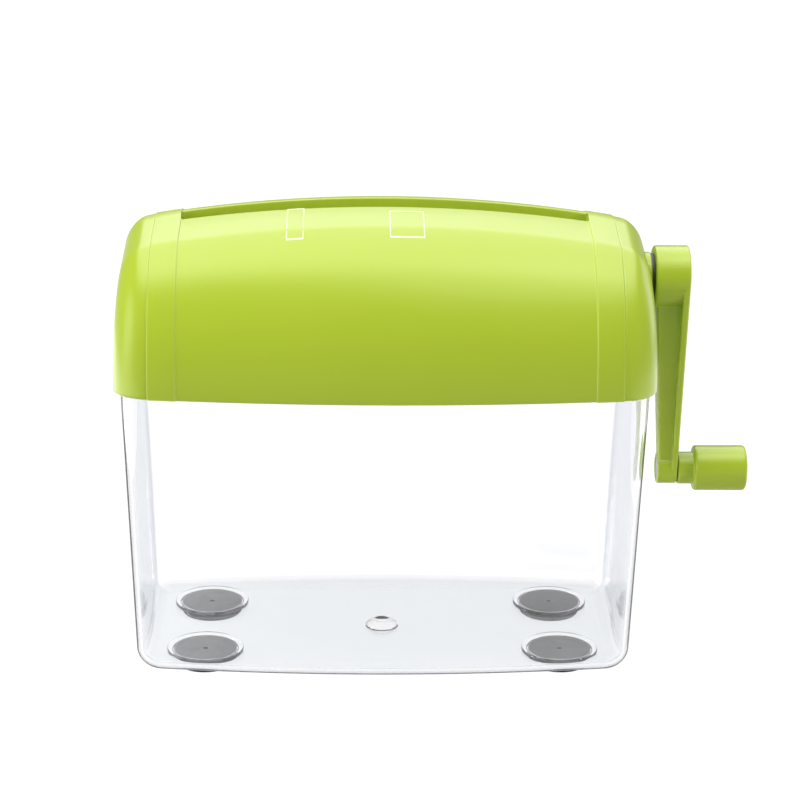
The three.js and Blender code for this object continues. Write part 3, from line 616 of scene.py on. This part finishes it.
def pillars(place_x, place_y, radius, sides):
    """Screw pillars with rounded feet, trimmed to the head's skin."""
    made = []
    for side_x in sides:
        for side_y in (-1, 1):
            at = (side_x * place_x, side_y * place_y, 0)
            column = lathe("pillar", [(radius - 0.0003, PILLAR_BASE),
                                      (radius, PILLAR_BASE + 0.0003),
                                      (radius + 0.0002, HEAD_TOP)], "Z", at, 32)
            combine(column, "INTERSECT", inside_block("trim", 0.0008))
            bore = lathe("bore", [(PILLAR_BORE, PILLAR_BASE - 0.001),
                                  (PILLAR_BORE, PILLAR_BASE + 0.0115),
                                  (0.0006, PILLAR_BASE + 0.0122)], "Z", at, 24)
            made.append(cut(column, bore))
    return made


cover = cover_panel("upper_cover_shell", "front")
union(cover, cover_panel("rear_panel", "rear"), band_ring("band_right"),
      mirrored(band_ring("band_left")),
      inlet_block("slot_end_right", INLET_WALL, SLOT_END_START),
      mirrored(inlet_block("slot_end_left", INLET_WALL, SLOT_END_START)))
cut(cover, inlet_block("slot", 0.0))
union(cover, *pillars(place_x=0.065, place_y=0.04, radius=0.004, sides=(-1, 1)))
move_to_centre(cover)
add_piece(smooth(cover, 30), "head", "lime_plastic", "upper_cover")

BEARING_RADIUS, BEARING_BORE, BEARING_INNER, BEARING_OUTER = 0.0095, 0.00589, 0.0915, 0.1002

for place in ("left", "right"):
    cap = cap_block(f"{place}_end_cap_shell", 0.0, HEAD_BOTTOM)
    cut(cap, cap_block("hollow", WALL, HEAD_BOTTOM - 0.002))
    union(cap, *pillars(place_x=0.0898, place_y=0.034, radius=0.0032, sides=(1,)))
    if place == "right":
        boss = turned("bearing_boss", [
            (0.0, BEARING_INNER, 0), (BEARING_RADIUS, BEARING_INNER, 0.0003),
            (BEARING_RADIUS, BEARING_OUTER, 0.0007), (0.0, BEARING_OUTER, 0),
        ], "X", (0, 0, CRANK_Z), 72)
        union(cap, boss)
        cut(cap, lathe("bore", [(BEARING_BORE, 0.09), (BEARING_BORE, 0.12)],
                       "X", (0, 0, CRANK_Z), 48))
    else:
        mirrored(cap)
    move_to_centre(cap)
    add_piece(smooth(cap, 30), "head", "lime_plastic", f"{place}_end_cap")

# Outlines of a narrow and a wide sheet, printed on the facet: sides left, right, near and far.
PRINT_SHEETS = {
    "sheet_outline_narrow": (-0.0365, -0.0302, -0.0286, -0.0045),
    "sheet_outline_wide": (0.0013, 0.0140, -0.0288, -0.0088),
}
PRINT_LINE, PRINT_RAISED, PRINT_SUNK = 0.0003, 0.00003, 0.0001
PRINT_STEPS = 12  # along each side


def print_outline(name, left, right, near, far):
    """A closed ribbon around the sheet, which follows the facet a hair above it."""
    corners = [(left, near), (right, near), (right, far), (left, far)]
    outer, inner = [], []
    for i, (x, y) in enumerate(corners):
        x2, y2 = corners[(i + 1) % 4]
        for k in range(PRINT_STEPS):
            px, py = x + (x2 - x) * k / PRINT_STEPS, y + (y2 - y) * k / PRINT_STEPS
            outer.append((px, py))
            inner.append((min(max(px, left + PRINT_LINE), right - PRINT_LINE),
                          min(max(py, near + 2 * PRINT_LINE), far - 2 * PRINT_LINE)))
    verts = []
    for shift in (PRINT_RAISED, -PRINT_SUNK):
        for line in (outer, inner):
            verts += [(x, y, arch_height(*head_at(x), y) + shift) for x, y in line]
    count = len(outer)
    faces = []
    for i in range(count):
        j = (i + 1) % count
        for a, b in ((0, 1), (1, 3), (3, 2), (2, 0)):
            faces.append((a * count + i, a * count + j, b * count + j, b * count + i))
    return new_object(name, verts, faces)


for name, sides in PRINT_SHEETS.items():
    add_piece(move_to_centre(print_outline(name, *sides)), "head", "white_nylon", material=ink)

# ---------------------------------------------------------------- bin and feet

BIN_BOTTOM, BIN_TOP = bin_low.z, bin_high.z
BIN_HALF_WIDTH, BIN_HALF_DEPTH = 0.0931, 0.0505
BIN_CORNER, BIN_EDGE, BIN_WALL, BIN_DRAFT = 0.01, 0.008, 0.0022, 0.0344
STEP_HEIGHT, STEP_DEPTH = 0.1124, 0.0008
SEAT_RADIUS, SEAT_DEPTH, PAD_RADIUS = 0.0126, 0.0012, 0.0146
GATE_RADIUS, GATE_HEIGHT, GATE_DIMPLE = 0.0064, 0.0028, 0.0008
STUD_RADIUS, STUD_HOLE_RADIUS = 0.0011, 0.0012
BIN_RIM = 0.0005  # radius of the rim's edges
SIDE_HEIGHTS = 0.03, 0.055, 0.08, 0.1


def plan_ring(half_width, half_depth, corner, z, face_steps=14, corner_steps=12):
    """The bin's outline at one height: bowed front and rear, straight sides, round corners."""
    corner_x = half_width - corner
    start = math.atan(corner_x / BOW)
    edge_x = corner_x + corner * math.sin(start)
    quarter = []
    for i in range(face_steps):
        x = edge_x * i / face_steps
        quarter.append((x, half_depth - x * x / (2 * BOW)))
    corner_y = half_depth - edge_x**2 / (2 * BOW) - corner * math.cos(start)
    for i in range(corner_steps + 1):
        angle = start + (math.pi / 2 - start) * i / corner_steps
        quarter.append((corner_x + corner * math.sin(angle), corner_y + corner * math.cos(angle)))
    side_steps = 6
    quarter += [(half_width, corner_y * (1 - i / side_steps)) for i in range(1, side_steps)]
    ring = quarter + [(half_width, 0.0)] + [(x, -y) for x, y in reversed(quarter)]
    ring += [(-x, -y) for x, y in quarter[1:]] + [(-half_width, 0.0)]
    ring += [(-x, y) for x, y in reversed(quarter[1:])]
    return [(x, y, z) for x, y in ring]


def bin_ring(z, inset):
    grow = BIN_DRAFT * (z - BIN_BOTTOM) - inset
    corner = max(0.0015, BIN_CORNER - min(inset, BIN_CORNER))
    return plan_ring(BIN_HALF_WIDTH + grow, BIN_HALF_DEPTH + grow, corner, z)


def bin_shell():
    steps = 10
    turns = [math.pi / 2 * k / steps for k in range(steps + 1)]
    # Holding rings keep the flat floor's shading flat.
    holding = [BIN_EDGE + 0.03 * (1 - share) + 0.001 for share in (0.25, 0.7)]
    inner = BIN_WALL + STEP_DEPTH
    fillet = BIN_EDGE - BIN_WALL
    floor = BIN_BOTTOM + BIN_WALL
    heights_and_insets = [
        *((BIN_BOTTOM, inset) for inset in holding),
        *((BIN_BOTTOM + BIN_EDGE * (1 - math.cos(a)), BIN_EDGE * (1 - math.sin(a))) for a in turns),
        *((z, 0.0) for z in SIDE_HEIGHTS),
        (STEP_HEIGHT, 0.0), (STEP_HEIGHT + 0.0002, 0.00015),
        (STEP_HEIGHT + 0.0004, STEP_DEPTH - 0.0001), (STEP_HEIGHT + 0.0007, STEP_DEPTH),
        (BIN_TOP - BIN_RIM, STEP_DEPTH), (BIN_TOP - 0.3 * BIN_RIM, STEP_DEPTH + 0.3 * BIN_RIM),
        (BIN_TOP, STEP_DEPTH + BIN_RIM), (BIN_TOP, inner - BIN_RIM),
        (BIN_TOP - 0.3 * BIN_RIM, inner - 0.3 * BIN_RIM), (BIN_TOP - BIN_RIM, inner),
        (STEP_HEIGHT, BIN_WALL + STEP_DEPTH / 2),
        *((z, BIN_WALL) for z in reversed(SIDE_HEIGHTS)),
        *((floor + fillet * (1 - math.cos(a)), BIN_WALL + fillet * (1 - math.sin(a)))
          for a in reversed(turns)),
        *((floor, inset) for inset in reversed(holding)),
    ]
    return loft("waste_bin_shell", [bin_ring(z, inset) for z, inset in heights_and_insets])


FOOT_NAMES = ("front_left", "front_right", "rear_left", "rear_right")
foot_middles = {name: middle(f"foot_{name}") for name in FOOT_NAMES}
bin_floor = BIN_BOTTOM + BIN_WALL

waste_bin = bin_shell()
pads, seats = [], []
for spot in foot_middles.values():
    at = (spot.x - CENTRE_X, spot.y, 0)
    low, high = bin_floor - 0.0005, bin_floor + SEAT_DEPTH
    pads.append(turned("pad", [(0, low, 0), (PAD_RADIUS, low, 0), (PAD_RADIUS, high, 0.0004),
                               (0, high, 0)], "Z", at, 96))
    low, high = BIN_BOTTOM - 0.001, BIN_BOTTOM + SEAT_DEPTH
    seats.append(turned("seat", [(0, low, 0), (SEAT_RADIUS, low, 0), (SEAT_RADIUS, high, 0.0003),
                                 (0, high, 0)], "Z", at, 96))
gate_angles = [math.pi * k / 32 for k in range(12)]
dome = [(GATE_RADIUS * math.cos(a), bin_floor + GATE_HEIGHT * math.sin(a)) for a in gate_angles]
gate = lathe("gate", [
    (0.0003, bin_floor - 0.0005), (GATE_RADIUS, bin_floor - 0.0005), *dome,
    (0.0018, bin_floor + GATE_HEIGHT - 0.0007), (0.0003, bin_floor + GATE_HEIGHT - GATE_DIMPLE),
], "Z", (0, 0, 0), 72)
union(waste_bin, *pads, gate)
cut(waste_bin, *seats)
move_to_centre(waste_bin)
add_piece(smooth(waste_bin, 28), "bin", "clear_plastic", "waste_bin")
waste_bin.visible_shadow = False

for name, spot in foot_middles.items():
    at = (spot.x, spot.y, 0)
    radius = (foot_high.x - foot_low.x) / 2
    top = foot_high.z
    low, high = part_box(f"foot_tape_{name}")
    # The pad's stud comes up through the hole in the disc.
    pad = turned(f"foot_pad_{name}", [
        (0, 0.0, 0), (radius - 0.0005, 0.0, 0.0006), (radius, 0.0011, 0.0005),
        (radius, top, 0.0002), (STUD_RADIUS, top, 0.0), (STUD_RADIUS, high.z, 0.0001),
        (0, high.z, 0),
    ], "Z", at, 96)
    add_piece(smooth(pad), "bin", "black_rubber", f"foot_{name}")
    disc = turned(f"foot_disc_{name}", [
        (0, low.z, 0), (radius - 0.0001, low.z, 0.00008), (radius - 0.0001, high.z, 0.00012),
        (0, high.z, 0),
    ], "Z", at, 96)
    cut(disc, lathe("hole", [(STUD_HOLE_RADIUS, low.z - 0.001), (STUD_HOLE_RADIUS, high.z + 0.001)],
                    "Z", at, 24))
    add_piece(smooth(disc), "bin", "grey_tape", f"foot_tape_{name}")

# ---------------------------------------------------------------- crank

CRANK_RADIUS = CRANK_Z - GRIP_Z
HUB_INNER, HUB_OUTER, HUB_RADIUS = arm_low.x - CENTRE_X, arm_high.x - CENTRE_X, 0.012
BOSS_INNER, BOSS_OUTER, BOSS_RADIUS = 0.1059, 0.1134, 0.006
PLATE_TOP, PLATE_BOTTOM = 0.0026, 0.0022
SHAFT_BORE, SHAFT_BORE_END = 0.00409, 0.1104
SCREW_BORE, SCREW_HEAD, SCREW_SEAT_DEPTH = 0.00165, 0.003, 0.0026
PIN_BORE, PIN_HEAD, PIN_SEAT_DEPTH = 0.00259, 0.0042, 0.0016


def link_outline(top_radius, bottom_radius, steps=28):
    """Two round ends joined by straight tangents, about the crank's axis, as [y, z] points."""
    lean = math.asin((top_radius - bottom_radius) / CRANK_RADIUS)
    made = []
    for i in range(steps + 1):
        angle = -lean + (math.pi + 2 * lean) * i / steps
        made.append((top_radius * math.cos(angle), top_radius * math.sin(angle)))
    for i in range(steps + 1):
        angle = math.pi + lean + (math.pi - 2 * lean) * i / steps
        made.append((bottom_radius * math.cos(angle),
                     -CRANK_RADIUS + bottom_radius * math.sin(angle)))
    return made


def link_slab(name, radii, top_span, bottom_span, edge):
    """A slab of the link's outline with rounded edges, its faces sloping from hub to boss."""
    rings = []
    steps = 5
    turns = [math.pi / 2 * k / steps for k in range(steps + 1)]
    layers = [("inner", edge * (1 - math.sin(a)), edge * (1 - math.cos(a))) for a in turns]
    layers += [("outer", inset, along) for _, inset, along in reversed(layers)]
    for end, inset, along in layers:
        ring = []
        for y, z in link_outline(radii[0] - inset, radii[1] - inset):
            share = -z / CRANK_RADIUS
            low = top_span[0] + (bottom_span[0] - top_span[0]) * share
            high = top_span[1] + (bottom_span[1] - top_span[1]) * share
            x = low + along if end == "inner" else high - along
            ring.append((x, y, CRANK_Z + z))
        rings.append(ring)
    return loft(name, rings)


arm = link_slab("crank_arm_moulding", (HUB_RADIUS, BOSS_RADIUS), (HUB_OUTER - PLATE_TOP, HUB_OUTER),
                (BOSS_OUTER - PLATE_BOTTOM, BOSS_OUTER), 0.0007)
rib = link_slab("rib", (HUB_RADIUS * 0.62, BOSS_RADIUS * 0.66),
                (HUB_INNER + 0.0008, HUB_OUTER - 0.001),
                (BOSS_INNER + 0.0006, BOSS_OUTER - 0.001), 0.0006)
hub = turned("hub", [
    (0, HUB_INNER, 0), (HUB_RADIUS, HUB_INNER, 0.001), (HUB_RADIUS, HUB_OUTER, 0.001),
    (0, HUB_OUTER, 0),
], "X", (0, 0, CRANK_Z), 96)
boss = turned("boss", [
    (0, BOSS_INNER, 0), (BOSS_RADIUS, BOSS_INNER, 0.0006), (BOSS_RADIUS, BOSS_OUTER, 0.0006),
    (0, BOSS_OUTER, 0),
], "X", (0, 0, GRIP_Z), 72)
union(arm, rib, hub, boss)
cut(arm,
    lathe("bore", [(SHAFT_BORE, HUB_INNER - 0.001), (SHAFT_BORE, SHAFT_BORE_END)],
          "X", (0, 0, CRANK_Z), 40),
    lathe("screw_bore", [(SCREW_BORE, 0.109), (SCREW_BORE, HUB_OUTER + 0.001)],
          "X", (0, 0, CRANK_Z), 32),
    lathe("screw_seat", [(SCREW_HEAD, HUB_OUTER - SCREW_SEAT_DEPTH),
                         (SCREW_HEAD, HUB_OUTER - 0.0004), (0.0036, HUB_OUTER + 0.0002)],
          "X", (0, 0, CRANK_Z), 48),
    lathe("pin_bore", [(PIN_BORE, BOSS_INNER - 0.001), (PIN_BORE, BOSS_OUTER + 0.001)],
          "X", (0, 0, GRIP_Z), 40),
    lathe("pin_seat", [(PIN_HEAD, BOSS_INNER - 0.001), (PIN_HEAD, BOSS_INNER + PIN_SEAT_DEPTH)],
          "X", (0, 0, GRIP_Z), 48))
move_to_centre(arm)
add_piece(smooth(arm, 30), "crank", "lime_plastic", "crank_arm")

NECK_RADIUS, GRIP_RADIUS = 0.0062, (grip_high.z - grip_low.z) / 2
grip_start, grip_end = grip_low.x - CENTRE_X, grip_high.x - CENTRE_X
neck_end, grip_bore = 0.1201, 0.0026
grip = turned("crank_grip_moulding", [
    (0, grip_start, 0), (NECK_RADIUS, grip_start, 0.0005), (NECK_RADIUS, neck_end, 0.0006),
    (GRIP_RADIUS, neck_end, 0.0013), (GRIP_RADIUS - 0.00005, neck_end + 0.003, 0.0),
    (GRIP_RADIUS, grip_end - 0.004, 0), (GRIP_RADIUS, grip_end, 0.0015), (0, grip_end, 0),
], "X", (0, 0, GRIP_Z), 96)
pin_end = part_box("crank_grip_pin")[1].x - CENTRE_X
cut(grip, lathe("pin_bore", [(grip_bore, grip_start - 0.001), (grip_bore, pin_end + 0.0006)],
                "X", (0, 0, GRIP_Z), 40))
move_to_centre(grip)
add_piece(smooth(grip), "grip", "lime_plastic", "crank_grip")

# ---------------------------------------------------------------- CAD nodes that stay


WELD_DISTANCE, BEVEL_WIDTH, BEVEL_ANGLE = 0.00001, 0.00018, 40


def shade_group():
    """Geometry nodes that shade a mesh smooth, apart from its sharp edges."""
    group = bpy.data.node_groups.new("shade_by_angle", "GeometryNodeTree")
    group.interface.new_socket("Geometry", in_out="INPUT", socket_type="NodeSocketGeometry")
    group.interface.new_socket("Geometry", in_out="OUTPUT", socket_type="NodeSocketGeometry")
    start, end = group.nodes.new("NodeGroupInput"), group.nodes.new("NodeGroupOutput")
    angle = group.nodes.new("GeometryNodeInputMeshEdgeAngle")
    compare = group.nodes.new("FunctionNodeCompare")
    compare.data_type = "FLOAT"
    compare.operation = "LESS_THAN"
    compare.inputs[1].default_value = math.radians(SHARP_ANGLE)
    faces = group.nodes.new("GeometryNodeSetShadeSmooth")
    faces.domain = "FACE"
    edges = group.nodes.new("GeometryNodeSetShadeSmooth")
    edges.domain = "EDGE"
    link = group.links.new
    link(start.outputs[0], faces.inputs["Geometry"])
    link(faces.outputs[0], edges.inputs["Geometry"])
    link(angle.outputs["Unsigned Angle"], compare.inputs[0])
    link(compare.outputs["Result"], edges.inputs["Shade Smooth"])
    link(edges.outputs[0], end.inputs[0])
    return group


shading = shade_group()
slot_of = {part["node"]: part["material_slot"] for part in frame["record"]["subparts"]}

for name, obj in nodes.items():
    if obj.hide_render:
        continue
    obj.data.materials.clear()
    obj.data.materials.append(finish_of[slot_of[name]])
    if "custom_normal" in obj.data.attributes:
        obj.data.attributes.remove(obj.data.attributes["custom_normal"])
    weld = obj.modifiers.new("weld", "WELD")
    weld.merge_threshold = WELD_DISTANCE
    bevel = obj.modifiers.new("bevel", "BEVEL")
    bevel.width = BEVEL_WIDTH
    bevel.segments = 2
    bevel.limit_method = "ANGLE"
    bevel.angle_limit = math.radians(BEVEL_ANGLE)
    by_angle = obj.modifiers.new("shade", "NODES")
    by_angle.node_group = shading

# ---------------------------------------------------------------- stage


FLOOR_SIZE = 8.0
FLOOR_GLOW, FLOOR_GLOW_MIRRORED, FLOOR_GLOW_DIFFUSE = 0.93, 0.5, 0.42
WORLD_SEEN, WORLD_REFLECTED = 1.0, 0.3


def mix_numbers(tree, factor, first, second):
    """Mixes two values, each a number or a node's output, and gives the result."""
    mix = tree.nodes.new("ShaderNodeMix")
    mix.data_type = "FLOAT"
    tree.links.new(factor, mix.inputs["Factor"])
    for socket, value in zip(mix.inputs[2:4], (first, second)):
        if isinstance(value, float):
            socket.default_value = value
        else:
            tree.links.new(value, socket)
    return mix.outputs[0]


def stage_floor():
    made, tree, shader = node_material("stage_floor")
    shader.inputs["Base Color"].default_value = (0.12, 0.12, 0.121, 1)
    shader.inputs["Roughness"].default_value = 0.8
    shader.inputs["Specular IOR Level"].default_value = 0.1
    # It glows for what looks at it, glows less in reflections and hardly lights the object.
    path = tree.nodes.new("ShaderNodeLightPath")
    clamped, mirrored_ray = math_node(tree, "SUBTRACT", path.outputs["Is Glossy Ray"],
                                      path.outputs["Is Transmission Ray"])
    clamped.use_clamp = True
    glow = mix_numbers(tree, mirrored_ray, FLOOR_GLOW, FLOOR_GLOW_MIRRORED)
    glow = mix_numbers(tree, path.outputs["Is Diffuse Ray"], glow, FLOOR_GLOW_DIFFUSE)
    shader.inputs["Emission Color"].default_value = (0.99, 0.99, 1, 1)
    tree.links.new(glow, shader.inputs["Emission Strength"])
    size = FLOOR_SIZE
    corners = [(-size, -size, 0), (size, -size, 0), (size, size, 0), (-size, size, 0)]
    floor = new_object("floor", corners, [(0, 1, 2, 3)])
    floor.data.materials.append(made)


def studio():
    world = bpy.data.worlds.new("studio")
    scene.world = world
    world.use_nodes = True
    tree = world.node_tree
    background = tree.nodes["Background"]
    # White for the camera and through the clear bin, dimmer for reflections and as a light.
    path = tree.nodes.new("ShaderNodeLightPath")
    seen = math_node(tree, "MAXIMUM", path.outputs["Is Camera Ray"],
                     path.outputs["Is Transmission Ray"])[1]
    strength = mix_numbers(tree, seen, WORLD_REFLECTED, WORLD_SEEN)
    tree.links.new(strength, background.inputs["Strength"])
    background.inputs["Color"].default_value = (1, 1, 1, 1)

    def sun(name, strength, angle, direction):
        """A wide sun that lights rough colour and doesn't show in reflections."""
        light = bpy.data.lights.new(name, "SUN")
        light.energy = strength
        light.angle = math.radians(angle)
        obj = bpy.data.objects.new(name, light)
        obj.rotation_euler = Vector(direction).to_track_quat("-Z", "Y").to_euler()
        scene.collection.objects.link(obj)
        obj.visible_glossy = False

    def softbox(name, place, target, size, radiance):
        """A panel that is only seen in reflections."""
        light = bpy.data.lights.new(name, "AREA")
        light.shape = "RECTANGLE"
        light.size, light.size_y = size
        light.energy = radiance * math.pi * size[0] * size[1]
        obj = bpy.data.objects.new(name, light)
        obj.location = place
        obj.rotation_euler = (Vector(target) - Vector(place)).to_track_quat("-Z", "Y").to_euler()
        obj.visible_camera = obj.visible_transmission = obj.visible_diffuse = False
        scene.collection.objects.link(obj)

    sun("key", strength=2.15, angle=34, direction=(0.3, 0.18, -1.0))
    sun("left_fill", strength=1.5, angle=30, direction=(1.0, 0.12, -0.3))
    sun("right_fill", strength=1.1, angle=20, direction=(-1.0, 0.5, -0.25))
    softbox("top_softbox", place=(0.12, 0.8, 1.15), target=(0.12, 0.8, 0),
            size=(1.9, 2.3), radiance=3.3)
    softbox("near_softbox", place=(0.3, -0.45, 1.1), target=(0.2, -0.3, 0),
            size=(0.7, 0.6), radiance=2.0)
    softbox("left_card", place=(-0.55, 0.05, 0.004), target=(-0.55, 0.05, 1),
            size=(0.5, 0.9), radiance=2.3)
    softbox("right_card", place=(0.48, 0.0, 0.004), target=(0.48, 0.0, 1),
            size=(0.5, 0.7), radiance=1.5)
    softbox("left_softbox", place=(-1.2, -0.3, 0.35), target=(0, 0, 0.15),
            size=(0.7, 0.9), radiance=1.9)
    softbox("right_softbox", place=(1.0, 0.6, 0.3), target=(0.09, 0, 0.11),
            size=(0.5, 0.6), radiance=2.0)


# Fitted to the feet's ellipses, the slot and the outline in the photo.
LENS, SENSOR = 105.12, 36.0  # millimetres
PITCH, YAW, ROLL = (math.radians(degrees) for degrees in (17.196, 1.516, 0.625))
CAMERA_PLACE = Vector((CENTRE_X - 0.01639, -0.85565, 0.36277))


def camera():
    data = bpy.data.cameras.new("camera")
    data.sensor_width = SENSOR
    data.lens = LENS
    data.clip_end = 60
    flat = math.cos(PITCH)
    forward = Vector((math.sin(YAW) * flat, math.cos(YAW) * flat, -math.sin(PITCH)))
    level = Vector((math.cos(YAW), -math.sin(YAW), 0))
    upright = level.cross(forward)
    right = level * math.cos(ROLL) + upright * math.sin(ROLL)
    up = -level * math.sin(ROLL) + upright * math.cos(ROLL)
    obj = bpy.data.objects.new("camera", data)
    scene.collection.objects.link(obj)
    turn = Matrix((right, up, -forward)).transposed().to_4x4()
    obj.matrix_world = Matrix.Translation(CAMERA_PLACE) @ turn
    scene.camera = obj


stage_floor()
studio()
camera()
scene.view_settings.view_transform = "Standard"
